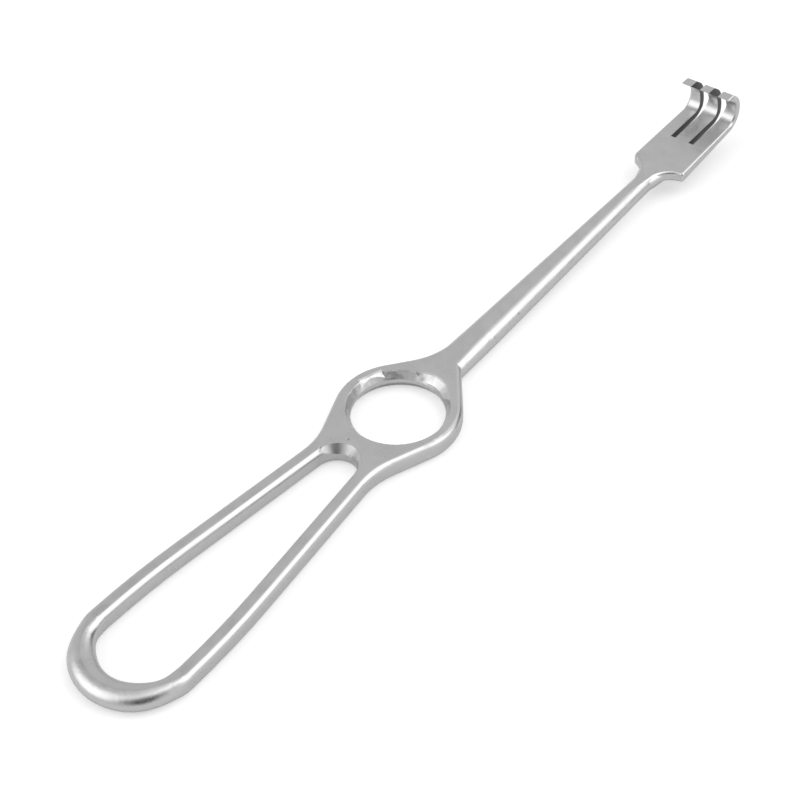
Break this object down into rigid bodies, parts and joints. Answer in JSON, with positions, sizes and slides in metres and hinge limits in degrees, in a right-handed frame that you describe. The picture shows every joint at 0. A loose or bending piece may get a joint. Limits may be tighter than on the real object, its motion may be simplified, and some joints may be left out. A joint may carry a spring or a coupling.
{
  "type": "surgical retractor",
  "caption": "Handheld surgical retractor with a teardrop palm loop, finger ring, slender tapered shaft and a slotted blade bent up into curved blunt prongs.",
  "frame": {"origin": "centre of the finger ring, half way through the handle's thickness", "axes": "+X from the palm loop along the shaft to the prongs; +Z out of the handle's upper face, the way the prongs rise; +Y completes the frame"},
  "size_m": [0.2202, 0.0276, 0.0162],
  "materials": {
    "steel": "satin"
  },
  "bodies": {
    "root": {"retractor": "steel"}
  },
  "joints": []
}
